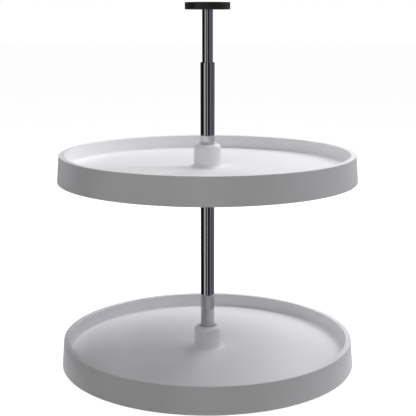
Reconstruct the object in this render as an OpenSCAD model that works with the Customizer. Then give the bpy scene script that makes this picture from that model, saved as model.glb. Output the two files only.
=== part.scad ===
// Two round cupboard trays that turn on a telescoping post.
// Origin: centre of the base flange's underside, on the cupboard floor. +Z is up. Millimetres.

/* [Trays] */
// Outer diameter of a tray at its bottom edge
tray_d = 609.6; // [450:0.1:720]
// Height of the rim, bottom edge to lip
rim_h = 54.1; // [44:0.1:65]
// How far the outside of the rim leans in, bottom edge to lip
rim_lean = 4.5; // [2:0.1:7]
// Width of the flat lip before its edges are rounded
lip_w = 11.4; // [9.5:0.1:16]
// Rounding of the lip's two edges
lip_r = 1.4; // [0.8:0.1:4.2]
// Depth of a tray, lip to floor
tray_depth = 28.6; // [20:0.1:34]
// How far the inside of the rim leans in, lip to floor
inner_lean = 2.4; // [1:0.1:5]
// Thickness of the tray floor
floor_t = 3; // [2:0.1:5]
// Thickness of the rim and hub walls
wall_t = 2.8; // [2:0.1:3.6]
// Rounding where the floor meets the rim
floor_r = 4; // [2:0.1:8]
// Number of radial ribs under a tray
rib_count = 12; // [6:1:24]
// Thickness of a rib
rib_t = 2.2; // [1.5:0.1:3]
// Depth of the ribs under the floor, at the hub
rib_depth = 11; // [6:0.1:14]
// Depth of the ribs under the floor, at the rim
rib_tip_depth = 8; // [4:0.1:12]
// Radius of the inner ring rib
inner_ring_r = 112; // [80:1:140]
// Radius of the outer ring rib
outer_ring_r = 206; // [160:1:240]

/* [Hubs] */
// Gap between the ball bearing and the inside of its hub
hub_gap = 1.6; // [0.6:0.1:4]
// How far the hub spreads from shoulder to floor, on each side
hub_spread = 1; // [0.4:0.1:2]
// Height of a hub above the lip of its tray
hub_rise = 17.5; // [15:0.1:40]
// Rounding of the hub's shoulder
shoulder_r = 8; // [4:0.1:9.8]
// Rounding where the hub meets the floor
hub_foot_r = 9.5; // [4:0.1:16]
// Thickness of the sleeve inside the hub
sleeve_t = 2.6; // [2:0.1:3.2]
// Number of ribs inside the hub
hub_rib_count = 6; // [3:1:8]
// Depth of the hub's skirt under the floor
skirt_depth = 6; // [3:0.1:8]
// Length of a hub bush
bush_l = 14; // [8:0.1:20]
// Wall of a hub bush
bush_t = 1.8; // [1.4:0.1:2.5]
// Height of the flange of the bush on top of the hub
crown_h = 2.6; // [1:0.1:3]
// How far that flange reaches past the bush
crown_lip = 1.2; // [0.8:0.1:1.5]
// Chamfer round the top of that flange
crown_chamfer = 0.5; // [0.2:0.1:0.7]

/* [Ball bearings] */
// Diameter of a bearing ball
ball_d = 4.76; // [3:0.01:5.5]
// Number of balls in a bearing
ball_count = 14; // [8:1:18]
// Width of a race, bore to rim
race_w = 9.1; // [8:0.1:12]
// Thickness of a race
race_t = 2.6; // [2:0.1:3.4]
// Depth of the groove in a race
groove_depth = 1; // [0.6:0.1:1.4]
// Thickness of the ball cage
cage_t = 1.8; // [1:0.1:2.4]

/* [Shelf collars] */
// Wall of the collar that carries a tray
collar_t = 7.6; // [5:0.1:9]
// Height of a collar
collar_h = 18; // [14:0.1:20]
// Height of a collar's underside over the bottom edge of its tray
collar_lift = 4; // [2:0.1:8]
// Height of the collar's set screws over its underside
collar_screw_z = 5.5; // [4.5:0.1:8]
// Diameter of a collar's set screw
collar_screw_d = 6; // [4:0.1:7]
// How far a set screw lies under the surface around it
screw_sink = 1; // [0.5:0.1:2]
// Width of a set screw's hexagon socket, across corners
socket_d = 3.4; // [2.5:0.1:4]
// Depth of that socket
socket_depth = 3; // [2:0.1:4]

/* [Post] */
// Outer diameter of the outer tube
outer_tube_d = 28.6; // [28:0.1:30]
// Wall of the outer tube
outer_tube_t = 1.2; // [0.9:0.1:1.8]
// Height of the outer tube's top over the floor
outer_tube_top = 640; // [560:1:680]
// Wall of the guide bush between the two tubes
guide_t = 2.3; // [1.5:0.1:3.5]
// Wall of the inner tube
inner_tube_t = 1; // [0.8:0.1:1.5]
// Length of inner tube inside the outer one
insertion = 150; // [130:1:180]
// Length of the guide bush in the outer tube's mouth
guide_l = 28; // [15:1:40]
// Thickness of the turned-in mouth of the outer tube
mouth_t = 1.4; // [1:0.1:2]
// Rounding of that mouth
mouth_r = 1.6; // [0.5:0.1:2]
// Length of inner tube that shows over the outer one
exposed_l = 103.2; // [60:0.1:146]

/* [Flanges] */
// Diameter of the base and top flanges
flange_d = 90; // [80:0.1:110]
// Thickness of a flange
flange_t = 14; // [13:0.1:17]
// Top plate of a flange, over its cored side
plate_t = 4; // [3.8:0.1:5]
// Outer wall of a flange
flange_wall = 3; // [2:0.1:4]
// Rounding of a flange's visible edge
flange_r = 1.4; // [0.6:0.1:2]
// Distance from a flange's edge to the middle of a screw hole
bolt_inset = 12; // [9:0.1:14]
// Number of screw holes
bolt_count = 4; // [3:1:6]
// Diameter of a screw hole
bolt_hole_d = 5; // [4:0.1:6]
// Diameter of a screw hole's countersink
sink_d = 9.6; // [8:0.1:10.5]
// Wall of the base flange's socket boss
boss_t = 6.7; // [5:0.1:10]
// Height of the socket boss over the base flange
boss_rise = 7.5; // [7:0.1:12]
// Diameter of the set screw in the boss
base_screw_d = 5; // [3:0.1:5]
// Floor of the socket under the outer tube
socket_floor = 4; // [3:0.1:6]

/* [Top swivel] */
// Diameter of the swivel pin on the top plug
pin_d = 12; // [10:0.1:13]
// Length of the top plug inside the inner tube
plug_l = 26; // [15:1:40]
// Depth of the inner tube's socket in the top flange
tube_socket = 3; // [2:0.1:4]
// Diameter of the washer over the pin
washer_d = 18; // [16:0.1:20]
// Thickness of the washer
washer_t = 1.2; // [0.8:0.1:1.6]
// Diameter of the swivel screw's shank
swivel_screw_d = 4; // [3:0.1:5]
// Length of the swivel screw's shank
swivel_screw_l = 16; // [10:1:20]
// Diameter of the swivel screw's head
swivel_head_d = 8; // [7:0.1:9]
// Height of the swivel screw's head
swivel_head_h = 2.4; // [1.8:0.1:2.8]
// Depth of the swivel screw's head under the flange's face
head_sink = 0.9; // [0.3:0.1:2]

/* [Twist lock] */
// Diameter of the lock spindle's rod
spindle_d = 8; // [6:0.1:8.5]
// Length of the rod under the inner tube
spindle_l = 46; // [44:1:60]
// Length of the spindle's plug inside the inner tube
spindle_plug_l = 22; // [15:1:40]
// Thickness of the spindle's shoulder
shoulder_t = 3; // [2:0.1:5]
// Length of the split grip sleeve
grip_l = 26; // [22:1:32]
// Thickness of the grip sleeve's top web
grip_web = 4; // [3:0.1:6]
// Wall of the grip sleeve at its mouth
grip_mouth_t = 2.2; // [1.6:0.1:3]
// Wall of the grip sleeve at the top of its taper
grip_root_t = 6; // [4.5:0.1:6.5]
// Width of the slits in the grip sleeve
slit_w = 2.6; // [2:0.1:3.5]
// Number of slits
slit_count = 4; // [2:1:6]
// Length of the wedge inside the grip sleeve
wedge_grip = 14; // [10:1:16]
// Length of the wedge that stands out under the sleeve
wedge_out = 2; // [1:0.1:4]
// Width of the spindle nut, across corners
nut_d = 14; // [12:0.1:16]
// Height of the spindle nut
nut_h = 5; // [3:0.1:7]

/* [Heights] */
// Gap between the socket boss and the lower collar
collar_gap = 1.5; // [1:0.1:20]
// Distance between the two trays
tray_pitch = 385; // [250:1:420]

/* [Clearances] */
// Radial clearance of a running fit
run_clear = 0.05; // [0.02:0.01:0.1]
// Radial clearance of a piece pressed or screwed into another
press_clear = 0.02; // [0.01:0.01:0.05]
// Axial gap between pieces that turn on each other
end_clear = 0.2; // [0.1:0.05:0.4]
// Radial gap where a piece passes another without touching
free_clear = 0.4; // [0.3:0.05:0.8]
// Gap between a ball and its groove
ball_clear = 0.02; // [0.01:0.01:0.04]
// Gap between a ball and its pocket in the cage
pocket_clear = 0.15; // [0.05:0.05:0.3]

/* [Hidden] */
$fn = 96;

// Tubes
outer_r = outer_tube_d / 2;
outer_bore_r = outer_r - outer_tube_t;
inner_r = outer_bore_r - press_clear - guide_t - run_clear;
inner_bore_r = inner_r - inner_tube_t;

// Ball bearing, measured from the bottom edge of its tray
race_bore_r = outer_r + free_clear;
race_r = race_bore_r + race_w;
ball_ring_r = (race_bore_r + race_r) / 2;
cage_bore_r = race_bore_r + free_clear;
cage_r = race_r - free_clear;
race_gap = ball_d + 2 * ball_clear - 2 * groove_depth;
bearing_z = collar_lift + collar_h;
upper_race_z = bearing_z + race_t + race_gap;
ball_z = upper_race_z - race_gap / 2;
seat_z = upper_race_z + race_t;

// Tray section, measured from the bottom edge of the tray
edge_r = tray_d / 2;
lip_outer_r = edge_r - rim_lean;
lip_inner_r = lip_outer_r - lip_w;
well_r = lip_inner_r - inner_lean;
floor_z = rim_h - tray_depth;
under_z = floor_z - floor_t;
skirt_bore_r = race_r + hub_gap;
skirt_r = skirt_bore_r + wall_t;
skirt_z = under_z - skirt_depth;
hub_r = skirt_r - hub_spread;
hub_top = rim_h + hub_rise;
hub_bore_r = outer_r + run_clear + bush_t;
sleeve_bore_r = hub_bore_r + press_clear;
sleeve_r = sleeve_bore_r + sleeve_t;
// Rounding of the moulding's small edges
edge_round = 0.8;
hub_shoulder = min(shoulder_r, hub_r - sleeve_bore_r - 1.5 * edge_round);
// How deep a rib runs into the wall it joins
rib_sink = wall_t / 2;

// Collars and flanges
collar_r = outer_r + run_clear + collar_t;
collar_screw_angles = [0, 120];
boss_r = outer_r + press_clear + boss_t;
boss_h = flange_t + boss_rise;
boss_screw_z = flange_t + boss_rise / 2;
bolt_ring_r = flange_d / 2 - bolt_inset;
// Wall round a screw hole and round the swivel pin's recess
bolt_wall = 2.4;
recess_wall = 3;
flange_rib_t = 2;
countersink = (sink_d - bolt_hole_d) / 2;

// Heights over the floor
lower_tray_z = boss_h + collar_gap - collar_lift;
upper_tray_z = lower_tray_z + tray_pitch;
top_flange_z = outer_tube_top + exposed_l;
inner_tube_z = outer_tube_top - insertion;
inner_tube_top = top_flange_z + tube_socket - end_clear;
pin_top = top_flange_z + flange_t - head_sink - swivel_head_h - washer_t;
recess_r = washer_d / 2 + free_clear;

// Twist lock
grip_r = outer_bore_r - end_clear;
grip_top = inner_tube_z - shoulder_t - end_clear;
grip_z = grip_top - grip_l;
taper_l = grip_l - grip_web;
wedge_z = grip_z - wedge_out;
wedge_top = grip_z + wedge_grip;

function unit(v) = v / norm(v);
function turned(v, a) = [v[0] * cos(a) - v[1] * sin(a), v[0] * sin(a) + v[1] * cos(a)];

// The arc of radius r that rounds corner b between its neighbours a and c
function arc_at(a, b, c, r) =
    let (u = unit(a - b), v = unit(c - b), half = acos(u * v) / 2)
    let (middle = b + unit(u + v) * r / sin(half))
    let (start = b + u * r / tan(half) - middle)
    let (way = cross(start, b - middle) > 0 ? 1 : -1)
    let (steps = r > 2 ? 10 : 4)
    [for (i = [0:steps]) middle + turned(start, way * (180 - 2 * half) * i / steps)];

// An outline from corners [x, y, rounding]
function rounded(corners) =
    let (n = len(corners), at = [for (c = corners) [c[0], c[1]]])
    [for (i = [0:n - 1]) each corners[i][2] > 0
        ? arc_at(at[(i + n - 1) % n], at[i], at[(i + 1) % n], corners[i][2])
        : [at[i]]];

// A ring between two radii, from z upwards
module ring(r_out, r_in, z, h) {
    translate([0, 0, z])
        rotate_extrude()
            translate([r_in, 0])
                square([r_out - r_in, h]);
}

// A set screw's hole through a wall round the outer tube
module radial_hole(d, z, r_to, angle = 0) {
    rotate([0, 0, angle])
        translate([outer_r / 2, 0, z])
            rotate([0, 90, 0])
                cylinder(d = d, h = r_to, $fn = 32);
}

// A headless screw against the outer tube, whose hexagon socket faces outwards
module set_screw(d, z, r_to, angle = 0) {
    r_from = outer_r + press_clear;
    rotate([0, 0, angle])
        translate([r_from, 0, z])
            rotate([0, 90, 0])
                difference() {
                    cylinder(d = d - 2 * press_clear, h = r_to - r_from, $fn = 32);
                    translate([0, 0, r_to - r_from - socket_depth])
                        linear_extrude(height = socket_depth + 1)
                            circle(d = socket_d, $fn = 6);
                }
}

// ---- tray ----

// Half section of the moulding: hub, floor, hollow rim and the sleeve inside the hub
module tray_section() {
    polygon(rounded([
        [sleeve_bore_r, hub_top, edge_round],
        [hub_r, hub_top, hub_shoulder],
        [skirt_r, floor_z, hub_foot_r],
        [well_r, floor_z, floor_r],
        [lip_inner_r, rim_h, lip_r],
        [lip_outer_r, rim_h, lip_r],
        [edge_r, 0, edge_round],
        [edge_r - wall_t, 0, edge_round],
        [lip_outer_r - wall_t, rim_h - wall_t, edge_round],
        [lip_inner_r + wall_t, rim_h - wall_t, edge_round],
        [well_r + wall_t, under_z, edge_round],
        [skirt_r, under_z, edge_round],
        [skirt_r, skirt_z, edge_round],
        [skirt_bore_r, skirt_z, edge_round],
        [hub_r - wall_t, hub_top - wall_t, hub_shoulder - wall_t],
        [sleeve_r, hub_top - wall_t, 0],
        [sleeve_r, seat_z, 0],
        [sleeve_bore_r, seat_z, 0]
    ]));
}

// A rib under the floor, carried on as a gusset inside the hollow rim
module floor_rib() {
    rotate([90, 0, 0])
        translate([0, 0, -rib_t / 2])
            linear_extrude(height = rib_t)
                polygon([
                    [skirt_r - rib_sink, under_z + rib_sink],
                    [skirt_r - rib_sink, under_z - rib_depth],
                    [edge_r - rib_sink, under_z - rib_tip_depth],
                    [lip_outer_r - rib_sink, rim_h - rib_sink],
                    [lip_inner_r + rib_sink, rim_h - rib_sink],
                    [well_r + rib_sink, under_z + rib_sink]
                ]);
}

// A rib between the hub's sleeve and its wall, down to the bearing seat
module hub_rib() {
    rotate([90, 0, 0])
        translate([0, 0, -rib_t / 2])
            linear_extrude(height = rib_t)
                polygon([
                    [sleeve_r - sleeve_t / 2, seat_z],
                    [skirt_bore_r + rib_sink, seat_z],
                    [hub_r - rib_sink, hub_top - hub_shoulder],
                    [hub_r - hub_shoulder, hub_top - rib_sink],
                    [sleeve_r - sleeve_t / 2, hub_top - rib_sink]
                ]);
}

module tray(z) {
    color("gainsboro")
        translate([0, 0, z]) {
            rotate_extrude($fn = 180)
                tray_section();
            for (i = [0:rib_count - 1])
                rotate([0, 0, (i + 0.5) * 360 / rib_count])
                    floor_rib();
            for (i = [0:hub_rib_count - 1])
                rotate([0, 0, i * 360 / hub_rib_count])
                    hub_rib();
            for (r = [inner_ring_r, outer_ring_r])
                ring(r + rib_t / 2, r - rib_t / 2, under_z - rib_tip_depth, rib_tip_depth + rib_sink);
        }
}

// ---- hub bushes ----

module seat_bush(z) {
    color("ivory")
        ring(hub_bore_r, outer_r + run_clear, z + seat_z, bush_l);
}

// The flanged bush on top of the hub, with a flared mouth
module crown_bush(z) {
    color("ivory")
        translate([0, 0, z + hub_top])
            rotate_extrude()
                polygon([
                    [outer_r + run_clear, -bush_l],
                    [hub_bore_r, -bush_l],
                    [hub_bore_r, 0],
                    [hub_bore_r + crown_lip, 0],
                    [hub_bore_r + crown_lip, crown_h - crown_chamfer],
                    [hub_bore_r + crown_lip - crown_chamfer, crown_h],
                    [hub_bore_r, crown_h],
                    [outer_r + run_clear, crown_h - bush_t]
                ]);
}

// ---- ball bearing ----

// A race with its ball groove in the top (side = 1) or the underside (side = -1)
module race(z, side) {
    groove_z = side > 0 ? z + race_t : z;
    color("silver")
        difference() {
            ring(race_r, race_bore_r, z, race_t);
            translate([0, 0, groove_z + side * (ball_d / 2 + ball_clear - groove_depth)])
                rotate_extrude()
                    translate([ball_ring_r, 0])
                        circle(r = ball_d / 2 + ball_clear, $fn = 48);
        }
}

module at_balls() {
    for (i = [0:ball_count - 1])
        rotate([0, 0, i * 360 / ball_count])
            translate([ball_ring_r, 0, 0])
                children();
}

module ball_cage(z) {
    color("peru")
        translate([0, 0, z + ball_z])
            difference() {
                ring(cage_r, cage_bore_r, -cage_t / 2, cage_t);
                at_balls()
                    cylinder(r = ball_d / 2 + pocket_clear, h = cage_t + 2, center = true, $fn = 32);
            }
}

module balls(z) {
    color("silver")
        translate([0, 0, z + ball_z])
            at_balls()
                sphere(d = ball_d, $fn = 32);
}

// ---- shelf collar ----

module collar(z) {
    color("darkgray")
        difference() {
            ring(collar_r, outer_r + run_clear, z + collar_lift, collar_h);
            for (a = collar_screw_angles)
                radial_hole(collar_screw_d, z + collar_lift + collar_screw_z, collar_r, a);
        }
}

module collar_screws(z) {
    color("dimgray")
        for (a = collar_screw_angles)
            set_screw(collar_screw_d, z + collar_lift + collar_screw_z, collar_r - screw_sink, a);
}

// ---- flanges ----

// Where the screws go through a flange
module at_bolts() {
    for (i = [0:bolt_count - 1])
        rotate([0, 0, (i + 0.5) * 360 / bolt_count])
            translate([bolt_ring_r, 0, 0])
                children();
}

// A moulded disc that lies on its cored side (z = 0), plate and countersinks on top
module flange_disc(centre_r) {
    core_h = flange_t - plate_t;
    difference() {
        rotate_extrude()
            polygon(rounded([
                [0, 0, 0],
                [flange_d / 2, 0, 0],
                [flange_d / 2, flange_t, flange_r],
                [0, flange_t, 0]
            ]));
        difference() {
            ring(flange_d / 2 - flange_wall, centre_r, -1, core_h + 1);
            at_bolts()
                cylinder(r = bolt_hole_d / 2 + bolt_wall, h = core_h + 1);
            for (i = [0:2 * bolt_count - 1])
                rotate([0, 0, i * 180 / bolt_count])
                    translate([centre_r - 1, -flange_rib_t / 2, 0])
                        cube([flange_d / 2 - flange_wall - centre_r + 2, flange_rib_t, core_h + 1]);
        }
        at_bolts() {
            translate([0, 0, -1])
                cylinder(d = bolt_hole_d, h = flange_t + 2, $fn = 32);
            translate([0, 0, flange_t - countersink])
                cylinder(d1 = bolt_hole_d, d2 = bolt_hole_d + 4 * countersink, h = 2 * countersink, $fn = 32);
        }
    }
}

// The disc on the cupboard floor, with the socket for the outer tube
module base_flange() {
    color("#1c1c1e")
        difference() {
            union() {
                flange_disc(boss_r);
                rotate_extrude()
                    polygon(rounded([
                        [0, flange_t / 2, 0],
                        [boss_r, flange_t / 2, 0],
                        [boss_r, boss_h, flange_r],
                        [0, boss_h, 0]
                    ]));
            }
            translate([0, 0, socket_floor])
                cylinder(r = outer_r + press_clear, h = boss_h);
            radial_hole(base_screw_d, boss_screw_z, boss_r);
        }
}

module base_set_screw() {
    color("dimgray")
        set_screw(base_screw_d, boss_screw_z, boss_r - screw_sink);
}

// The disc under the cupboard's top, which turns on the post's swivel pin
module top_flange() {
    color("#1c1c1e")
        difference() {
            translate([0, 0, top_flange_z + flange_t])
                mirror([0, 0, 1])
                    flange_disc(recess_r + recess_wall);
            translate([0, 0, top_flange_z - 1])
                cylinder(r = inner_r + run_clear, h = tube_socket + 1);
            translate([0, 0, top_flange_z])
                cylinder(r = pin_d / 2 + run_clear, h = flange_t + 1);
            translate([0, 0, pin_top - end_clear])
                cylinder(r = recess_r, h = flange_t);
        }
}

// ---- post ----

// The outer tube, with its end turned in over the guide bush
module outer_tube() {
    mouth_bore_r = inner_r + free_clear;
    color("silver")
        rotate_extrude()
            polygon(rounded([
                [outer_bore_r, socket_floor, 0],
                [outer_r, socket_floor, 0],
                [outer_r, outer_tube_top, mouth_r],
                [mouth_bore_r, outer_tube_top, 0],
                [mouth_bore_r, outer_tube_top - mouth_t, 0],
                [outer_bore_r, outer_tube_top - mouth_t, 0]
            ]));
}

module guide_bush() {
    color("#2b2b2d")
        ring(outer_bore_r - press_clear, inner_r + run_clear, outer_tube_top - mouth_t - guide_l, guide_l);
}

module inner_tube() {
    color("silver")
        ring(inner_r, inner_bore_r, inner_tube_z, inner_tube_top - inner_tube_z);
}

// ---- top swivel ----

module top_plug() {
    color("whitesmoke")
        difference() {
            union() {
                translate([0, 0, inner_tube_top - plug_l])
                    cylinder(r = inner_bore_r - press_clear, h = plug_l);
                translate([0, 0, inner_tube_top])
                    cylinder(d = pin_d, h = pin_top - inner_tube_top);
            }
            translate([0, 0, pin_top - swivel_screw_l])
                cylinder(d = swivel_screw_d, h = swivel_screw_l + 1, $fn = 32);
        }
}

module swivel_washer() {
    color("silver")
        ring(washer_d / 2, swivel_screw_d / 2 + run_clear, pin_top, washer_t);
}

module swivel_screw() {
    head_z = pin_top + washer_t;
    color("dimgray")
        difference() {
            union() {
                translate([0, 0, head_z - swivel_screw_l + 1])
                    cylinder(r = swivel_screw_d / 2 - press_clear, h = swivel_screw_l - 1, $fn = 32);
                translate([0, 0, head_z])
                    cylinder(d = swivel_head_d, h = swivel_head_h);
            }
            translate([0, 0, head_z + swivel_head_h / 2])
                linear_extrude(height = swivel_head_h)
                    circle(d = socket_d, $fn = 6);
        }
}

// ---- twist lock ----

// Radius of the grip sleeve's taper at a height
function taper_r(z) =
    grip_r - grip_mouth_t - (grip_root_t - grip_mouth_t) * (z - grip_z) / taper_l;

module at_slits() {
    for (i = [0:slit_count - 1])
        rotate([0, 0, i * 360 / slit_count])
            children();
}

// The rod that screws the wedge up and down, with its plug in the inner tube
module lock_spindle() {
    color("whitesmoke")
        union() {
            translate([0, 0, inner_tube_z])
                cylinder(r = inner_bore_r - press_clear, h = spindle_plug_l);
            translate([0, 0, inner_tube_z - shoulder_t])
                cylinder(r = inner_r, h = shoulder_t);
            translate([0, 0, inner_tube_z - shoulder_t - spindle_l])
                cylinder(d = spindle_d, h = spindle_l + 1);
        }
}

module spindle_nut() {
    color("dimgray")
        translate([0, 0, inner_tube_z - shoulder_t - spindle_l + 1])
            difference() {
                linear_extrude(height = nut_h)
                    circle(d = nut_d, $fn = 6);
                translate([0, 0, -1])
                    cylinder(r = spindle_d / 2 + press_clear, h = nut_h + 2);
            }
}

// The split sleeve that the wedge spreads against the outer tube
module grip_sleeve() {
    color("whitesmoke")
        difference() {
            rotate_extrude()
                polygon([
                    [spindle_d / 2 + run_clear, grip_top - grip_web],
                    [taper_r(grip_top - grip_web), grip_top - grip_web],
                    [taper_r(grip_z), grip_z],
                    [grip_r, grip_z],
                    [grip_r, grip_top],
                    [spindle_d / 2 + run_clear, grip_top]
                ]);
            at_slits()
                translate([spindle_d / 2 + 1, -slit_w / 2, grip_z - 1])
                    cube([grip_r, slit_w, taper_l + 1]);
        }
}

// The wedge, whose fins slide in the slits so that it can't turn
module lock_wedge() {
    fin_w = slit_w - 2 * free_clear;
    color("whitesmoke")
        difference() {
            union() {
                rotate_extrude()
                    polygon([
                        [0, wedge_z],
                        [taper_r(grip_z) - run_clear, wedge_z],
                        [taper_r(grip_z) - run_clear, grip_z],
                        [taper_r(wedge_top) - run_clear, wedge_top],
                        [0, wedge_top]
                    ]);
                at_slits()
                    translate([0, -fin_w / 2, wedge_z])
                        cube([grip_r - free_clear, fin_w, wedge_grip + wedge_out]);
            }
            translate([0, 0, wedge_z - 1])
                cylinder(r = spindle_d / 2 + run_clear, h = wedge_grip + wedge_out + 2);
        }
}

// ---- the two shelves ----

module lower_collar() collar(lower_tray_z);
module lower_collar_screws() collar_screws(lower_tray_z);
module lower_bottom_race() race(lower_tray_z + bearing_z, 1);
module lower_ball_cage() ball_cage(lower_tray_z);
module lower_balls() balls(lower_tray_z);
module lower_top_race() race(lower_tray_z + upper_race_z, -1);
module lower_seat_bush() seat_bush(lower_tray_z);
module lower_crown_bush() crown_bush(lower_tray_z);
module lower_tray() tray(lower_tray_z);

module upper_collar() collar(upper_tray_z);
module upper_collar_screws() collar_screws(upper_tray_z);
module upper_bottom_race() race(upper_tray_z + bearing_z, 1);
module upper_ball_cage() ball_cage(upper_tray_z);
module upper_balls() balls(upper_tray_z);
module upper_top_race() race(upper_tray_z + upper_race_z, -1);
module upper_seat_bush() seat_bush(upper_tray_z);
module upper_crown_bush() crown_bush(upper_tray_z);
module upper_tray() tray(upper_tray_z);

base_flange();
base_set_screw();
outer_tube();
guide_bush();
lower_collar();
lower_collar_screws();
lower_bottom_race();
lower_ball_cage();
lower_balls();
lower_top_race();
lower_seat_bush();
lower_crown_bush();
lower_tray();
upper_collar();
upper_collar_screws();
upper_bottom_race();
upper_ball_cage();
upper_balls();
upper_top_race();
upper_seat_bush();
upper_crown_bush();
upper_tray();
inner_tube();
lock_spindle();
spindle_nut();
grip_sleeve();
lock_wedge();
top_plug();
swivel_washer();
swivel_screw();
top_flange();
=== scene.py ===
import math

import bmesh
import bpy
from mathutils import Matrix, Vector


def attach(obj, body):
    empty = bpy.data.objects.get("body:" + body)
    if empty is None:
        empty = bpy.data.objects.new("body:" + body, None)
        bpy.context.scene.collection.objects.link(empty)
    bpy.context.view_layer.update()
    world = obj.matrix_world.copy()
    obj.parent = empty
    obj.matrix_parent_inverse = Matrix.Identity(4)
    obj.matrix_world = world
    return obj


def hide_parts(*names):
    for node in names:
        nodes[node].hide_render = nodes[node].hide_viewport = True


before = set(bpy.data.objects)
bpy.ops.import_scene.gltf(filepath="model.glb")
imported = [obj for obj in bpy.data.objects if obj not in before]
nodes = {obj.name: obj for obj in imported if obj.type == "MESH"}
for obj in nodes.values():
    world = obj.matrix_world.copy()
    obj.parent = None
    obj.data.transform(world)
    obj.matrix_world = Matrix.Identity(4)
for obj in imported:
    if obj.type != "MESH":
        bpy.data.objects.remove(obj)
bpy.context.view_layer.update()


def toLinear(hexColour):
    channels = [int(hexColour[i:i + 2], 16) / 255 for i in (1, 3, 5)]
    linear = [c / 12.92 if c <= 0.04045 else ((c + 0.055) / 1.055) ** 2.4 for c in channels]
    return (*linear, 1)


def perMm(size):
    return 1000 / size  # scale of a texture whose features are that many mm wide, on coordinates in metres


def addNode(tree, kind, values=None, links=None, **settings):
    node = tree.nodes.new("ShaderNode" + kind)
    for name, value in settings.items():
        setattr(node, name, value)
    for socket, value in (values or {}).items():
        node.inputs[socket].default_value = value
    for socket, source in (links or {}).items():
        tree.links.new(source, node.inputs[socket])
    return node


# A metal keeps the default IOR
def startMaterial(name, colour, roughness, metallic=0, ior=None):
    material = bpy.data.materials.new(name)
    material.use_nodes = True
    tree = material.node_tree
    surface = tree.nodes["Principled BSDF"]
    surface.inputs["Base Color"].default_value = toLinear(colour)
    surface.inputs["Roughness"].default_value = roughness
    surface.inputs["Metallic"].default_value = metallic
    if ior:
        surface.inputs["IOR"].default_value = ior
    return material, tree, surface, addNode(tree, "TexCoord").outputs["Object"]


def addRelief(tree, surface, height, depthMm):
    bump = addNode(tree, "Bump", {"Strength": 1, "Distance": depthMm / 1000}, {"Height": height})
    tree.links.new(bump.outputs["Normal"], surface.inputs["Normal"])


def mixColours(tree, factor, low, high, surface):
    ramp = addNode(tree, "ValToRGB", links={"Fac": factor})
    ramp.color_ramp.elements[0].color = toLinear(low)
    ramp.color_ramp.elements[1].color = toLinear(high)
    tree.links.new(ramp.outputs["Color"], surface.inputs["Base Color"])


def mapRoughness(tree, factor, low, high, surface):
    spread = addNode(tree, "MapRange", {"To Min": low, "To Max": high}, {"Value": factor})
    tree.links.new(spread.outputs["Result"], surface.inputs["Roughness"])


# An outline from corners (radius, height, rounding), in mm, with a short straight run beside each
# arc so that the flats stay flat when the surface is smooth-shaded
def roundedOutline(corners, arcStep=9, run=0.5):
    points = []
    for i, (x, z, rounding) in enumerate(corners):
        here = Vector((x, z))
        if rounding == 0:
            points.append(here)
            continue
        before = Vector(corners[i - 1][:2]) - here
        after = Vector(corners[(i + 1) % len(corners)][:2]) - here
        half = before.angle(after) / 2
        reach = rounding / math.tan(half)
        middle = here + (before.normalized() + after.normalized()).normalized() * rounding / math.sin(half)
        start = here + before.normalized() * reach - middle
        end = here + after.normalized() * reach - middle
        steps = max(2, round(math.degrees(math.pi - 2 * half) / (arcStep if rounding > 1 else 3 * arcStep)))
        turn = start.angle_signed(end)
        if before.length > reach + 4 * run:
            points.append(here + before.normalized() * (reach + run))
        for k in range(steps + 1):
            angle = -turn * k / steps
            points.append(middle + Vector((
                start.x * math.cos(angle) - start.y * math.sin(angle),
                start.x * math.sin(angle) + start.y * math.cos(angle),
            )))
        if after.length > reach + 4 * run:
            points.append(here + after.normalized() * (reach + run))
    return points


def meshPiece(name, vertices, faces, material, sharpAngle=30):
    mesh = bpy.data.meshes.new(name)
    mesh.from_pydata([Vector(v) / 1000 for v in vertices], [], faces)
    shape = bmesh.new()
    shape.from_mesh(mesh)
    bmesh.ops.recalc_face_normals(shape, faces=shape.faces)
    shape.to_mesh(mesh)
    shape.free()
    mesh.materials.append(material)
    piece = bpy.data.objects.new(name, mesh)
    bpy.context.scene.collection.objects.link(piece)
    shadeSmooth(piece, sharpAngle)
    return piece


def shadeSmooth(piece, sharpAngle=30):
    piece.data.shade_smooth()
    piece.data.set_sharp_from_angle(angle=math.radians(sharpAngle))


# Vertices and faces of rings of points, each joined to the next; a ring of one point is a tip
def skinRings(rings, loop=False, capped=False):
    vertices, faces, starts = [], [], []
    for ring in rings:
        starts.append(len(vertices))
        vertices.extend(ring)
    pairs = list(zip(range(len(rings)), range(1, len(rings))))
    if loop:
        pairs.append((len(rings) - 1, 0))
    for a, b in pairs:
        count = max(len(rings[a]), len(rings[b]))
        for k in range(count):
            m = (k + 1) % count
            corners = [starts[a] + k % len(rings[a]), starts[a] + m % len(rings[a]),
                       starts[b] + m % len(rings[b]), starts[b] + k % len(rings[b])]
            faces.append(list(dict.fromkeys(corners)))
    if capped:
        for start, ring in ((starts[0], rings[0]), (starts[-1], rings[-1])):
            faces.append([start + k for k in range(len(ring))])
    return vertices, faces


def roundRing(radius, z, count):
    angles = [2 * math.pi * k / count for k in range(count)]
    return [(radius * math.cos(a), radius * math.sin(a), z) for a in angles]


screwFacets = 36  # points round a screw or nut, a multiple of six so that hexagons keep their corners


def screwRing(radius, z):
    return roundRing(radius, z, screwFacets)


# A hexagon's outline, measured across corners, with as many points as a screw's round rings
def hexagonRing(across, z):
    points = []
    for k in range(screwFacets):
        degrees = 360 * k / screwFacets
        angle = math.radians(degrees)
        reach = across / 2 * math.cos(math.radians(30)) / math.cos(math.radians(degrees % 60 - 30))
        points.append((reach * math.cos(angle), reach * math.sin(angle), z))
    return points


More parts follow.
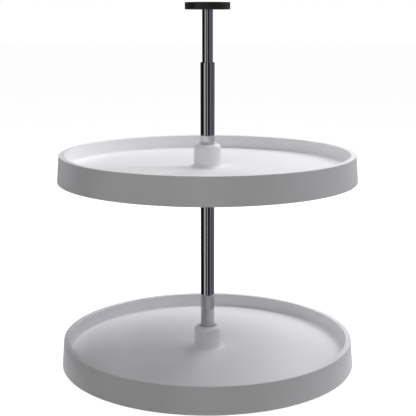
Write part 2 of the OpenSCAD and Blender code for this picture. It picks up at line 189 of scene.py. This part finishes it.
# A piece turned round the post from corners (radius, height, rounding); it starts and ends on the
# axis if its first corner lies there
def turnedPiece(name, corners, slot, count=144, sharpAngle=30):
    rings = [roundRing(x, z, count) if x else [(0, 0, z)] for x, z in roundedOutline(corners)]
    return meshPiece(name, *skinRings(rings, loop=corners[0][0] > 0), finishes[slot], sharpAngle)


# A flat plate upright on the x axis, from an outline of (x, z)
def uprightPlate(outline, thick):
    return skinRings([[(x, y, z) for x, z in outline] for y in (-thick / 2, thick / 2)], capped=True)


# A round pin or a cutter along the x axis, from stations (x, radius)
def crossPin(stations, z):
    rings = [[(x, y, height + z) for y, height, _ in screwRing(radius, 0)] for x, radius in stations]
    return skinRings(rings, capped=True)


# The rings of a screw thread: a ridge that climbs one pitch a turn and runs out at both ends
def threadRings(radius, start, end, pitch, depth, ringsPerTurn=8):
    rings, steps = [], math.ceil(ringsPerTurn * (end - start) / pitch)
    for i in range(steps + 1):
        z = start + (end - start) * i / steps
        fade = min(1, (z - start) / pitch, (end - z) / pitch)
        ring = []
        for k in range(screwFacets):
            ridge = 1 - abs(2 * ((z / pitch - k / screwFacets) % 1) - 1)
            reach, angle = radius - depth * (1 - fade * ridge), 2 * math.pi * k / screwFacets
            ring.append((reach * math.cos(angle), reach * math.sin(angle), z))
        rings.append(ring)
    return rings


# Adds a shape to a list of shapes, turned round the post
def addTurned(vertices, faces, newVertices, newFaces, degrees):
    first, c, s = len(vertices), math.cos(math.radians(degrees)), math.sin(math.radians(degrees))
    vertices += [(x * c - y * s, x * s + y * c, z) for x, y, z in newVertices]
    faces += [[first + k for k in face] for face in newFaces]


def lifted(vertices, height):
    return [(x, y, z + height) for x, y, z in vertices]


# One closed surface from two that cross each other, or the first with the second cut out
def combine(piece, other, operation="UNION"):
    modifier = piece.modifiers.new("combine", "BOOLEAN")
    modifier.operation = operation
    modifier.solver = "MANIFOLD"
    modifier.object = other
    finished = bpy.data.meshes.new_from_object(piece.evaluated_get(bpy.context.evaluated_depsgraph_get()))
    piece.modifiers.clear()
    piece.data = finished
    bpy.data.objects.remove(other)
    shadeSmooth(piece)
    return piece


def place(piece, body, slot, *replaced):
    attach(piece, body)
    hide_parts(*replaced)


# The photo's viewpoint, worked out from the ellipses of both trays, in metres, degrees and mm
viewpoint = dict(distance=1.9122, height=0.7232, tiltDown=11.262, turnRight=0.029, lens=81.83)

cameraData = bpy.data.cameras.new("photoView")
cameraData.lens = viewpoint["lens"]
camera = bpy.data.objects.new("photoView", cameraData)
camera.location = (0, -viewpoint["distance"], viewpoint["height"])
camera.rotation_euler = (math.radians(90 - viewpoint["tiltDown"]), 0, -math.radians(viewpoint["turnRight"]))
bpy.context.scene.collection.objects.link(camera)
bpy.context.scene.camera = camera
bpy.context.scene.view_settings.view_transform = "Standard"
print("camera placed")


# Studio: pale floor, white surroundings, softboxes, and cards for the chrome to reflect.
# The floor glows for the camera and in reflections; its shade there keeps the object's shadow.
studio = dict(floorSize=60, floorColour="#b4b4b4", floorGlow=0.98, floorShade=0.45, ambient=0.003,
              lampDistance=2.6, lampTarget=0.3)
lampPlan = [
    # name, azimuth from the camera's direction to the right, elevation (degrees), size (m), watts, colour
    ("softboxAbove", 0, 85, 1.4, 6, "#ffffff"),
    ("softboxBackAbove", 180, 65, 1.4, 24, "#ffffff"),
    ("softboxRightHigh", 110, 50, 1.3, 18.5, "#ffffff"),
    ("softboxRight", 105, 32, 1.3, 9, "#f6f7ff"),
    ("softboxFrontRight", 60, 45, 1.3, 2.9, "#ffffff"),
    ("softboxBackRight", 150, 32, 1.3, 14.4, "#ffffff"),
    ("softboxBackRightLow", 135, 4, 1, 2.6, "#f8f8ff"),
    ("softboxBackLeftLow", -135, 4, 1, 10.6, "#f8f4ff"),
    ("softboxLeftLow", -110, 4, 1, 1.5, "#f8f4ff"),
    ("softboxLeft", -100, 40, 1.3, 1.5, "#ffffff"),
    ("fillFrontLeft", -20, 32, 1.3, 8.5, "#fffbfa"),
    ("fillFrontRight", 20, 32, 1.3, 2.7, "#ffffff"),
]

# Cards stand round the post and show only in reflections. Azimuth is the way that a card lies from
# the post, in degrees from the camera's direction, to the right. Sizes are in metres: each card
# stands on a foot that runs in along the floor, unless it starts higher up.
cardRing = dict(radius=0.5, bottom=0.02, top=2.4, foot=0.43, footHeight=0.003, stripDegrees=4)
cardPlan = [
    # name, from azimuth, to azimuth, tone, lower edge where it isn't the ring's
    ("cardBehindLeft", -180, -157, "#303032"),
    ("cardDarkBehindLeft", -146, -110, "#38383a"),
    ("cardBlackLeft", -110, -58.5, "#17171a"),
    ("cardWarmStrip", -58.5, -46, "#f6f0e6"),
    ("cardGreyLeft", -46, -29, "#acacac"),
    ("cardDimMiddle", -29, -11, "#28282b"),
    ("cardCoolStrip", -11, 4, "#b5b7c3"),
    ("cardBlackMiddle", 4, 17, "#242428"),
    ("cardBlackRight", 17, 38, "#28282c"),
    ("cardGreyRight", 38, 66, "#80828b"),
    ("cardDimRight", 66, 95, "#585a62"),
    ("cardPaleRight", 95, 125, "#84868e"),
    ("cardDimBehindRight", 125, 146, "#3c3e44"),
    ("cardBehindRight", 157, 180, "#48484a"),
    # These two close the gaps behind the upper tubes only, whose edges are dark in the photo
    ("cardHighBehindLeft", -157, -146, "#38383a", 0.42),
    ("cardHighBehindRight", 146, 157, "#3c3e44", 0.42),
]


def glowMaterial(name, colour):
    material = bpy.data.materials.new(name)
    material.use_nodes = True
    tree = material.node_tree
    tree.nodes.clear()
    glow = addNode(tree, "Emission", {"Color": toLinear(colour), "Strength": 1})
    addNode(tree, "OutputMaterial", links={"Surface": glow.outputs["Emission"]})
    return material


# 1 for what the camera, a mirror or glass sees, and 0 for what only lights the object
def seenDirectly(tree):
    path = addNode(tree, "LightPath").outputs
    seen = path["Is Camera Ray"]
    for ray in ("Is Glossy Ray", "Is Transmission Ray"):
        seen = addNode(tree, "Math", links={0: seen, 1: path[ray]}, operation="MAXIMUM").outputs[0]
    return seen


def buildWorld():
    world = bpy.data.worlds.new("whiteSurroundings")
    bpy.context.scene.world = world
    world.use_nodes = True
    tree = world.node_tree
    tree.nodes.clear()
    ambient = addNode(tree, "Background", {"Color": (1, 1, 1, 1), "Strength": studio["ambient"]})
    white = addNode(tree, "Background", {"Color": (1, 1, 1, 1), "Strength": 1})
    ends = {1: ambient.outputs[0], 2: white.outputs[0]}
    mix = addNode(tree, "MixShader", links={0: seenDirectly(tree), **ends})
    addNode(tree, "OutputWorld", links={"Surface": mix.outputs[0]})


def buildFloor():
    half = studio["floorSize"] / 2
    mesh = bpy.data.meshes.new("paleFloor")
    corners = [(-half, -half, 0), (half, -half, 0), (half, half, 0), (-half, half, 0)]
    mesh.from_pydata(corners, [], [(0, 1, 2, 3)])
    material = bpy.data.materials.new("paleFloorPaint")
    material.use_nodes = True
    tree = material.node_tree
    tree.nodes.clear()
    paint = addNode(tree, "BsdfDiffuse", {"Color": toLinear(studio["floorColour"])})
    shaded = addNode(tree, "BsdfDiffuse", {"Color": (*[studio["floorShade"]] * 3, 1)})
    glow = addNode(tree, "Emission", {"Color": (1, 1, 1, 1), "Strength": studio["floorGlow"]})
    pale = addNode(tree, "AddShader", links={0: shaded.outputs[0], 1: glow.outputs[0]})
    ends = {1: paint.outputs[0], 2: pale.outputs[0]}
    mix = addNode(tree, "MixShader", links={0: seenDirectly(tree), **ends})
    addNode(tree, "OutputMaterial", links={"Surface": mix.outputs[0]})
    mesh.materials.append(material)
    floor = bpy.data.objects.new("paleFloor", mesh)
    bpy.context.scene.collection.objects.link(floor)


def addLamp(name, azimuth, elevation, size, watts, colour):
    a, e = math.radians(azimuth), math.radians(elevation)
    away = Vector((math.sin(a) * math.cos(e), -math.cos(a) * math.cos(e), math.sin(e)))
    lamp = bpy.data.lights.new(name, "AREA")
    lamp.shape = "DISK"
    lamp.size = size
    lamp.energy = watts
    lamp.color = toLinear(colour)[:3]
    holder = bpy.data.objects.new(name, lamp)
    holder.location = Vector((0, 0, studio["lampTarget"])) + away * studio["lampDistance"]
    holder.rotation_euler = (-away).to_track_quat("-Z", "Y").to_euler()
    bpy.context.scene.collection.objects.link(holder)


def addCard(name, fromAzimuth, toAzimuth, tone, bottom=cardRing["bottom"]):
    count = max(2, round((toAzimuth - fromAzimuth) / cardRing["stripDegrees"]))
    stations = [(cardRing["radius"], bottom), (cardRing["radius"], cardRing["top"])]
    if bottom == cardRing["bottom"]:
        stations.insert(0, (cardRing["foot"], cardRing["footHeight"]))
    vertices, faces = [], []
    for k in range(count + 1):
        a = math.radians(fromAzimuth + (toAzimuth - fromAzimuth) * k / count)
        for radius, z in stations:
            vertices.append((radius * math.sin(a), -radius * math.cos(a), z))
        if k:
            first = len(vertices) - 2 * len(stations)
            for m in range(first, first + len(stations) - 1):
                faces.append((m, m + len(stations), m + len(stations) + 1, m + 1))
    mesh = bpy.data.meshes.new(name)
    mesh.from_pydata(vertices, [], faces)
    mesh.materials.append(glowMaterial(name + "Paper", tone))
    card = bpy.data.objects.new(name, mesh)
    bpy.context.scene.collection.objects.link(card)
    card.visible_camera = False
    card.visible_diffuse = False
    card.visible_shadow = False
    card.visible_transmission = False


buildWorld()
buildFloor()
for lamp in lampPlan:
    addLamp(*lamp)
for card in cardPlan:
    addCard(*card)
print("studio built")


# Impact polystyrene, moulded in a spark-eroded tool: an even matt white with a soft sheen
def mouldedPolystyrene():
    material, tree, surface, where = startMaterial("mouldedPolystyrene", "#f6f6f8", 0.46, ior=1.55)
    slow = addNode(tree, "TexNoise", {"Scale": perMm(70), "Detail": 2}, {"Vector": where})
    mixColours(tree, slow.outputs["Fac"], "#f4f4f6", "#f8f8fa", surface)
    grain = addNode(tree, "TexNoise", {"Scale": perMm(0.9), "Detail": 3}, {"Vector": where})
    mapRoughness(tree, grain.outputs["Fac"], 0.4, 0.52, surface)
    addRelief(tree, surface, grain.outputs["Fac"], 0.03)  # true grit is 0.05 mm wide, drawn wider to show
    return material


# Steel tube, polished and chromium-plated: a mirror with the faintest lines of its polishing
def chromePlate():
    material, tree, surface, where = startMaterial("chromePlate", "#bcbdbf", 0.04, metallic=1)
    stretch = addNode(tree, "Mapping", {"Scale": (1, 1, 0.02)}, {"Vector": where})
    lines = addNode(tree, "TexNoise", {"Scale": perMm(0.8), "Detail": 2}, {"Vector": stretch.outputs[0]})
    mapRoughness(tree, lines.outputs["Fac"], 0.03, 0.05, surface)
    addRelief(tree, surface, lines.outputs["Fac"], 0.00003)
    return material


# Glass-filled nylon, moulded: black, matt, a fine grain
def blackNylon():
    material, tree, surface, where = startMaterial("blackNylon", "#18181a", 0.45, ior=1.53)
    grain = addNode(tree, "TexNoise", {"Scale": perMm(0.7), "Detail": 3}, {"Vector": where})
    mapRoughness(tree, grain.outputs["Fac"], 0.4, 0.5, surface)
    addRelief(tree, surface, grain.outputs["Fac"], 0.008)
    return material


# Acetal, moulded smooth: a waxy white
def whiteAcetal():
    material, tree, surface, where = startMaterial("whiteAcetal", "#e8e8e8", 0.35, ior=1.48)
    slow = addNode(tree, "TexNoise", {"Scale": perMm(9), "Detail": 2}, {"Vector": where})
    mapRoughness(tree, slow.outputs["Fac"], 0.3, 0.42, surface)
    addRelief(tree, surface, slow.outputs["Fac"], 0.01)
    return material


# Through-hardened bearing steel, ground and lapped: bright, its mirror blurred by the grinding
def bearingSteel():
    material, tree, surface, where = startMaterial("bearingSteel", "#b9babd", 0.16, metallic=1)
    lines = addNode(tree, "TexNoise", {"Scale": perMm(0.5), "Detail": 2}, {"Vector": where})
    mapRoughness(tree, lines.outputs["Fac"], 0.12, 0.24, surface)
    return material


# Nylon for the ball cages, moulded, then soaked in grease: light brown and mottled, with a soft sheen
def cageNylon():
    material, tree, surface, where = startMaterial("cageNylon", "#b98f5e", 0.4, ior=1.53)
    slow = addNode(tree, "TexNoise", {"Scale": perMm(6), "Detail": 3}, {"Vector": where})
    mixColours(tree, slow.outputs["Fac"], "#a9804f", "#c39a69", surface)
    return material


# Zinc alloy, die-cast and tumbled: dull grey with a soft, uneven skin
def castZinc():
    material, tree, surface, where = startMaterial("castZinc", "#9c9da0", 0.42, metallic=1)
    skin = addNode(tree, "TexNoise", {"Scale": perMm(2.2), "Detail": 4}, {"Vector": where})
    mapRoughness(tree, skin.outputs["Fac"], 0.32, 0.55, surface)
    addRelief(tree, surface, skin.outputs["Fac"], 0.03)
    return material


# Alloy steel, blackened in hot salts and oiled: near black, with a satin, slightly patchy skin
def blackOxideSteel():
    material, tree, surface, where = startMaterial("blackOxideSteel", "#3a3a3d", 0.35, metallic=1)
    skin = addNode(tree, "TexNoise", {"Scale": perMm(1.5), "Detail": 3}, {"Vector": where})
    mapRoughness(tree, skin.outputs["Fac"], 0.28, 0.46, surface)
    return material


# Steel, bright zinc plating: silver with a faint blue cast
def zincPlate():
    material, tree, surface, where = startMaterial("zincPlate", "#b4b8bf", 0.25, metallic=1)
    skin = addNode(tree, "TexNoise", {"Scale": perMm(3), "Detail": 3}, {"Vector": where})
    mixColours(tree, skin.outputs["Fac"], "#aab0b8", "#bcc0c6", surface)
    mapRoughness(tree, skin.outputs["Fac"], 0.2, 0.34, surface)
    return material


# Unfilled nylon, moulded: milky, slightly yellow
def naturalNylon():
    material, tree, surface, where = startMaterial("naturalNylon", "#e2ddce", 0.38, ior=1.53)
    slow = addNode(tree, "TexNoise", {"Scale": perMm(12), "Detail": 2}, {"Vector": where})
    mixColours(tree, slow.outputs["Fac"], "#dcd6c5", "#e7e3d6", surface)
    return material


finishes = {
    "tray_polymer": mouldedPolystyrene(),
    "chrome_tube": chromePlate(),
    "black_nylon": blackNylon(),
    "white_acetal": whiteAcetal(),
    "bearing_steel": bearingSteel(),
    "cage_nylon": cageNylon(),
    "cast_zinc": castZinc(),
    "black_screw_steel": blackOxideSteel(),
    "zinc_plated_steel": zincPlate(),
    "lock_nylon": naturalNylon(),
}

for node in nodes.values():
    for materialSlot in node.material_slots:
        materialSlot.material = finishes[materialSlot.material.name]
print("materials made:", len(finishes))


# Trays: one moulding each, in mm. Heights count from the lower edge of the rim, which is at
# the height that bottoms gives.
tray = dict(
    bottoms=dict(lower_tray=19, upper_tray=404), facets=288,
    edge=304.8, rim=54.1, lipOuter=300.3, lipInner=288.9, lipRound=1.4, wall=2.8,
    well=286.5, wellRound=4, floor=25.5, under=22.5, smallRound=0.8,
    hub=27.2, hubTop=71.6, shoulder=8, skirt=28.2, skirtBore=25.4, skirtFoot=16.5, footRound=9.5,
    sleeve=18.77, sleeveBore=16.17, seat=30,
)
ribs = dict(
    count=12, thick=2.2, tipThick=1.9, tipRound=0.45, hubDepth=11, rimDepth=8, endHeight=1, sink=1.4,
    rings=(206, 112), ringDraft=0.12, ringFoot=0.5, hubRibs=6,
)
# Where the mould's pins pushed the tray out
ejectorMarks = dict(radii=(158, 247), size=9, height=0.25, facets=28)


def traySection():
    t, edge = tray, tray["smallRound"]
    corners = [
        (t["sleeveBore"], t["hubTop"], edge), (t["hub"], t["hubTop"], t["shoulder"]),
        (t["skirt"], t["floor"], t["footRound"]), (t["well"], t["floor"], t["wellRound"]),
        (t["lipInner"], t["rim"], t["lipRound"]), (t["lipOuter"], t["rim"], t["lipRound"]),
        (t["edge"], 0, edge), (t["edge"] - t["wall"], 0, edge),
        (t["lipOuter"] - t["wall"], t["rim"] - t["wall"], edge),
        (t["lipInner"] + t["wall"], t["rim"] - t["wall"], edge), (t["well"] + t["wall"], t["under"], edge),
    ]
    half, draft, tip = ribs["thick"] / 2, ribs["ringDraft"], t["under"] - ribs["rimDepth"]
    for radius in ribs["rings"]:
        corners += [
            (radius + half, t["under"], ribs["ringFoot"]), (radius + half - draft, tip, ribs["tipRound"]),
            (radius - half + draft, tip, ribs["tipRound"]), (radius - half, t["under"], ribs["ringFoot"]),
        ]
    corners += [
        (t["skirt"], t["under"], edge), (t["skirt"], t["skirtFoot"], edge),
        (t["skirtBore"], t["skirtFoot"], edge),
        (t["hub"] - t["wall"], t["hubTop"] - t["wall"], t["shoulder"] - t["wall"]),
        (t["sleeve"], t["hubTop"] - t["wall"], 0.4), (t["sleeve"], t["seat"], 0.3),
        (t["sleeveBore"], t["seat"], 0.2),
    ]
    return roundedOutline(corners)


# One rib from the hub's skirt to the rim, and on as a gusset inside the hollow rim
def floorRib():
    t, sink = tray, ribs["sink"]
    half, tipHalf, edge = ribs["thick"] / 2, ribs["tipThick"] / 2, ribs["tipRound"]
    start, end = t["skirt"] - sink, t["edge"] - sink
    stations = [
        # radius, top
        (start, t["under"] + sink), (t["well"] + sink, t["under"] + sink),
        (t["lipInner"] + sink, t["rim"] - sink), (t["lipOuter"] - sink, t["rim"] - sink),
        (end, t["under"] - ribs["rimDepth"] + ribs["endHeight"]),
    ]
    rings = []
    for x, top in stations:
        along = (x - start) / (end - start)
        tip = t["under"] - ribs["hubDepth"] - (ribs["rimDepth"] - ribs["hubDepth"]) * along
        bevel = (tipHalf - edge * 0.3, tip + edge * 0.3)
        side = [(half, top), (tipHalf, tip + edge), bevel, (tipHalf - edge, tip)]
        rings.append([(x, y, z) for y, z in side] + [(x, -y, z) for y, z in reversed(side)])
    return skinRings(rings, capped=True)


def hubRib():
    t, sink = tray, ribs["sink"]
    inner, top = t["sleeve"] - sink, t["hubTop"] - sink
    profile = [
        (inner, t["seat"]), (t["skirtBore"] + sink, t["seat"]),
        (t["hub"] - sink, t["hubTop"] - t["shoulder"]), (t["hub"] - t["shoulder"], top), (inner, top),
    ]
    return uprightPlate(profile, ribs["thick"])


def trayMoulding(name, bottom):
    vertices, faces = skinRings([roundRing(x, z, tray["facets"]) for x, z in traySection()], loop=True)
    body = meshPiece(name, lifted(vertices, bottom), faces, finishes["tray_polymer"])
    extraVertices, extraFaces = [], []
    for k in range(ribs["count"]):
        addTurned(extraVertices, extraFaces, *floorRib(), 360 * (k + 0.5) / ribs["count"])
    for k in range(ribs["hubRibs"]):
        addTurned(extraVertices, extraFaces, *hubRib(), 360 * k / ribs["hubRibs"])
    m = ejectorMarks
    mark = [roundRing(m["size"] / 2, tray["under"] + z, m["facets"]) for z in (ribs["sink"], -m["height"])]
    for radius in m["radii"]:
        rings = [[(x + radius, y, z) for x, y, z in ring] for ring in mark]
        for k in range(ribs["count"]):
            addTurned(extraVertices, extraFaces, *skinRings(rings, capped=True), 360 * k / ribs["count"])
    extra = meshPiece(name + "Ribs", lifted(extraVertices, bottom), extraFaces, finishes["tray_polymer"])
    return combine(body, extra)


for node, bottom in tray["bottoms"].items():
    place(trayMoulding(node + "Moulding", bottom), node.replace("tray", "shelf"), "tray_polymer", node)
print("trays moulded")


# Hub bushes, collars and their set screws, in mm.
# The upper bush stands higher out of its hub in the photo than the lower one does
crownBush = dict(
    bore=14.35, wall=16.15, length=14, taperBottom=0.8, taperTop=0.3, neck=14.95, flange=17,
    flare=1.2, facets=108, heights=dict(lower=1.5, upper=4.3),
    groove=0.4,  # under the flange, as a share of the bush's height over the hub
)
collar = dict(
    bore=14.35, outside=21.95, bottom=4, top=22,
    screwHeight=9.5, screwAngles=(0, 120), screwRadius=3,
)
setScrew = dict(
    start=14.32, inset=1, play=0.02, pitch=1, depth=0.5, lead=0.4,
    socket=3.4, socketDepth=3, socketCone=0.5, socketMouth=0.3,
)
drill = dict(start=7, countersink=0.8, beyond=1)


def crownBushPiece(name, top, height):
    c, under, face = crownBush, top + crownBush["groove"] * height, top + height
    return turnedPiece(name, [
        (c["bore"], top - c["length"], 0.3), (c["wall"], top - c["length"], 0.3),
        (c["wall"], top - c["taperBottom"], 0), (c["neck"], top - c["taperTop"], 0),
        (c["neck"], under, 0.2), (c["flange"], under, 0.3),
        (c["flange"], face, 0.5), (c["wall"], face, 0.4), (c["bore"], face - c["flare"], 0.8),
    ], "white_acetal", c["facets"])


# A headless screw that points at the tube, with a hexagon socket in its outer end
def addSetScrew(vertices, faces, holeRadius, outside, height, degrees):
    t = setScrew
    radius, start, end = holeRadius - t["play"], t["start"], outside - t["inset"]
    core, mouth, floor = radius - t["depth"], end - t["socketMouth"], end - t["socketDepth"]
    rings = [[(0, 0, start)], screwRing(core - t["lead"], start)]
    rings += threadRings(radius, start + t["lead"], mouth, t["pitch"], t["depth"])
    rings += [screwRing(core - t["lead"] / 2, end), hexagonRing(t["socket"] + t["lead"], end)]
    rings += [hexagonRing(t["socket"], z) for z in (mouth, floor + t["socketCone"])]
    rings.append([(0, 0, floor)])
    upright, screwFaces = skinRings(rings)
    addTurned(vertices, faces, [(z, x, y + height) for x, y, z in upright], screwFaces, degrees)


def cutScrewHoles(piece, radius, outside, height, degrees):
    vertices, faces, sink, beyond = [], [], drill["countersink"], drill["beyond"]
    stations = [
        (drill["start"], radius), (outside - sink, radius),
        (outside + beyond, radius + sink + beyond),
    ]
    for angle in degrees:
        addTurned(vertices, faces, *crossPin(stations, height), angle)
    return combine(piece, meshPiece("drill", vertices, faces, piece.data.materials[0]), "DIFFERENCE")


def collarPiece(name, bottom):
    c = collar
    blank = turnedPiece(name, [
        (c["bore"], bottom + c["bottom"], 0.4), (c["outside"], bottom + c["bottom"], 0.9),
        (c["outside"], bottom + c["top"], 0.9), (c["bore"], bottom + c["top"], 0.4),
    ], "cast_zinc")
    height = bottom + c["screwHeight"]
    return cutScrewHoles(blank, c["screwRadius"], c["outside"], height, c["screwAngles"])


for side in ("lower", "upper"):
    bottom = tray["bottoms"][side + "_tray"]
    bush = crownBushPiece(side + "_crownBush", bottom + tray["hubTop"], crownBush["heights"][side])
    place(bush, side + "_shelf", "white_acetal", side + "_crown_bush")
    place(collarPiece(side + "_clampCollar", bottom), side + "_support", "cast_zinc", side + "_collar")
    screwVertices, screwFaces, height = [], [], bottom + collar["screwHeight"]
    for angle in collar["screwAngles"]:
        addSetScrew(screwVertices, screwFaces, collar["screwRadius"], collar["outside"], height, angle)
    screws = meshPiece(side + "_clampScrews", screwVertices, screwFaces, finishes["black_screw_steel"])
    place(screws, side + "_support", "black_screw_steel", side + "_collar_screws")
print("bushes and collars made")


# The outer tube's top is turned in to a mouth, through which the inner one slides
outer = dict(
    radius=14.3, bore=13.1, foot=4, top=640, mouth=11.13, mouthFloor=638.6, mouthRound=1.6, facets=192,
)
outerTube = turnedPiece("outerTube", [
    (outer["bore"], outer["foot"], 0.3), (outer["radius"], outer["foot"], 0.4),
    (outer["radius"], outer["top"], outer["mouthRound"]), (outer["mouth"], outer["top"], 0.4),
    (outer["mouth"], outer["mouthFloor"], 0.3), (outer["bore"], outer["mouthFloor"], 0.3),
], "chrome_tube", outer["facets"])
place(outerTube, "fixed_post", "chrome_tube", "outer_tube")

inner = dict(radius=10.73, bore=9.73, foot=490, top=746, facets=160)
innerTube = turnedPiece("innerTube", [
    (inner["bore"], inner["foot"], 0.3), (inner["radius"], inner["foot"], 0.3),
    (inner["radius"], inner["top"], 0.3), (inner["bore"], inner["top"], 0.3),
], "chrome_tube", inner["facets"])
place(innerTube, "sliding_post", "chrome_tube", "inner_tube")
print("tubes made")


# Flanges: a cored disc each, with ribs and screw bosses in the hollow, in mm
flange = dict(
    radius=45, thick=14, plate=4, wall=3, edge=1.4, small=0.5, draft=0.3, facets=180,
    ribs=8, ribThick=2, ribGap=0.3, sink=1,
    bolts=4, boltRing=33, boltHole=2.5, boltHead=4.8, boltWall=2.4, boltFacets=48,
)


# A round boss or a drill at the radius of the flange's screws, from stations (radius, height)
def boltShape(stations):
    rings = [roundRing(radius, z, flange["boltFacets"]) for radius, z in stations]
    return skinRings([[(x + flange["boltRing"], y, z) for x, y, z in ring] for ring in rings], capped=True)


# The disc has its open side down. Corners of its middle come before and after those of the rim.
def flangePiece(name, core, before, after):
    f, deep, sink = flange, flange["thick"] - flange["plate"], flange["sink"]
    wall, low, high = f["radius"] - f["wall"], f["ribGap"], deep + sink
    hole, countersink = f["boltHole"], f["boltHead"] - f["boltHole"]
    piece = turnedPiece(name, before + [
        (core, 0, 0.4), (core + f["draft"], deep, f["small"]), (wall - f["draft"], deep, f["small"]),
        (wall, 0, 0.4), (f["radius"], 0, 0.4), (f["radius"], f["thick"], f["edge"]),
    ] + after, "black_nylon", f["facets"])
    outline = [(core - sink, low), (wall + sink, low), (wall + sink, high), (core - sink, high)]
    bossStations = [(hole + f["boltWall"], low), (hole + f["boltWall"], high)]
    drillStations = [
        (hole, -sink), (hole, f["thick"] - countersink),
        (hole + countersink + sink, f["thick"] + sink),
    ]
    for part, shape, count, shift, operation in (
        ("Ribs", uprightPlate(outline, f["ribThick"]), f["ribs"], 0, "UNION"),
        ("Bosses", boltShape(bossStations), f["bolts"], 0.5, "UNION"),
        ("Drills", boltShape(drillStations), f["bolts"], 0.5, "DIFFERENCE"),
    ):
        vertices, faces = [], []
        for k in range(count):
            addTurned(vertices, faces, *shape, 360 * (k + shift) / count)
        combine(piece, meshPiece(name + part, vertices, faces, finishes["black_nylon"]), operation)
    return piece


# The base flange has a boss with a socket for the outer tube, which a set screw holds
boss = dict(radius=21.02, top=21.5, bore=14.32, floor=4, screwHeight=17.75, screwRadius=2.5)
baseFlange = flangePiece("baseFlange", boss["radius"], [(0, 0, 0)], [
    (boss["radius"], flange["thick"], 0.5), (boss["radius"], boss["top"], flange["edge"]),
    (boss["bore"], boss["top"], 0.5), (boss["bore"], boss["floor"], 0.3), (0, boss["floor"], 0),
])
cutScrewHoles(baseFlange, boss["screwRadius"], boss["radius"], boss["screwHeight"], (0,))
place(baseFlange, "fixed_post", "black_nylon", "base_flange")
screwVertices, screwFaces = [], []
addSetScrew(screwVertices, screwFaces, boss["screwRadius"], boss["radius"], boss["screwHeight"], 0)
baseScrew = meshPiece("baseSetScrew", screwVertices, screwFaces, finishes["black_screw_steel"])
place(baseScrew, "fixed_post", "black_screw_steel", "base_set_screw")

# The top flange is made open side down like the base flange, then turned over and lifted
swivel = dict(core=12.4, socket=10.78, socketDepth=3, pin=6.05, recess=9.4, recessDepth=4.7, top=757.2)
socketFloor = flange["thick"] - swivel["socketDepth"]
topFlange = flangePiece("topFlange", swivel["core"], [], [
    (swivel["socket"], flange["thick"], 0.4), (swivel["socket"], socketFloor, 0.3),
    (swivel["pin"], socketFloor, 0.3), (swivel["pin"], swivel["recessDepth"], 0.3),
    (swivel["recess"], swivel["recessDepth"], 0.3), (swivel["recess"], 0, 0.4),
])
topFlange.data.transform(Matrix.Translation((0, 0, swivel["top"] / 1000)) @ Matrix.Rotation(math.pi, 4, "X"))
place(topFlange, "ceiling_flange", "black_nylon", "top_flange")

# The screw that holds the top flange on its pin. Heights count from the seat under its head.
bolt = dict(
    seat=753.9, length=15, tip=1.3, radius=1.98, threadStart=14.6, threadEnd=0.8, pitch=0.7, depth=0.3,
    head=((1.98, -0.6), (1.98, 0), (3.8, 0), (4, 0.2), (4, 1.8), (3.8, 2.2), (3.4, 2.4)),  # radius, height
    socket=((3.7, 2.4), (3.4, 2.2), (3.4, 1.4)), socketFloor=1.2,  # across corners, height
)
seat, threadEnds = bolt["seat"], (bolt["seat"] - bolt["threadStart"], bolt["seat"] - bolt["threadEnd"])
boltRings = [[(0, 0, seat - bolt["length"])], screwRing(bolt["tip"], seat - bolt["length"])]
boltRings += threadRings(bolt["radius"], *threadEnds, bolt["pitch"], bolt["depth"])
boltRings += [screwRing(radius, seat + z) for radius, z in bolt["head"]]
boltRings += [hexagonRing(across, seat + z) for across, z in bolt["socket"]]
boltRings.append([(0, 0, seat + bolt["socketFloor"])])
swivelScrew = meshPiece("swivelScrew", *skinRings(boltRings), finishes["black_screw_steel"])
place(swivelScrew, "sliding_post", "black_screw_steel", "swivel_screw")
print("flanges made")


# The twist lock's spindle is plugged into the inner tube, and its nut keeps the wedge on it
spindle = dict(
    foot=441, tip=3.2, rod=4, threadEnds=(441.6, 486.4), pitch=2, depth=0.6,
    plug=(  # radius, height
        (4, 487), (10.4, 487), (10.73, 487.3), (10.73, 489.7),
        (10.73, 490), (9.71, 490), (9.71, 511.4), (9.2, 512),
    ),
)
spindleRings = [[(0, 0, spindle["foot"])], screwRing(spindle["tip"], spindle["foot"])]
spindleRings += threadRings(spindle["rod"], *spindle["threadEnds"], spindle["pitch"], spindle["depth"])
spindleRings += [screwRing(radius, z) for radius, z in spindle["plug"]]
spindleRings.append([(0, 0, spindle["plug"][-1][1])])
lockSpindle = meshPiece("lockSpindle", *skinRings(spindleRings), finishes["lock_nylon"])
place(lockSpindle, "sliding_post", "lock_nylon", "lock_spindle")

nut = dict(bore=4.02, across=14, face=12.9, bottom=442, top=447, edge=0.6)
spindleNut = meshPiece("spindleNut", *skinRings([
    screwRing(nut["bore"], nut["bottom"]), hexagonRing(nut["face"], nut["bottom"]),
    hexagonRing(nut["across"], nut["bottom"] + nut["edge"]),
    hexagonRing(nut["across"], nut["top"] - nut["edge"]),
    hexagonRing(nut["face"], nut["top"]), screwRing(nut["bore"], nut["top"]),
], loop=True), finishes["black_screw_steel"])
place(spindleNut, "sliding_post", "black_screw_steel", "spindle_nut")
print("spindle and nut made")
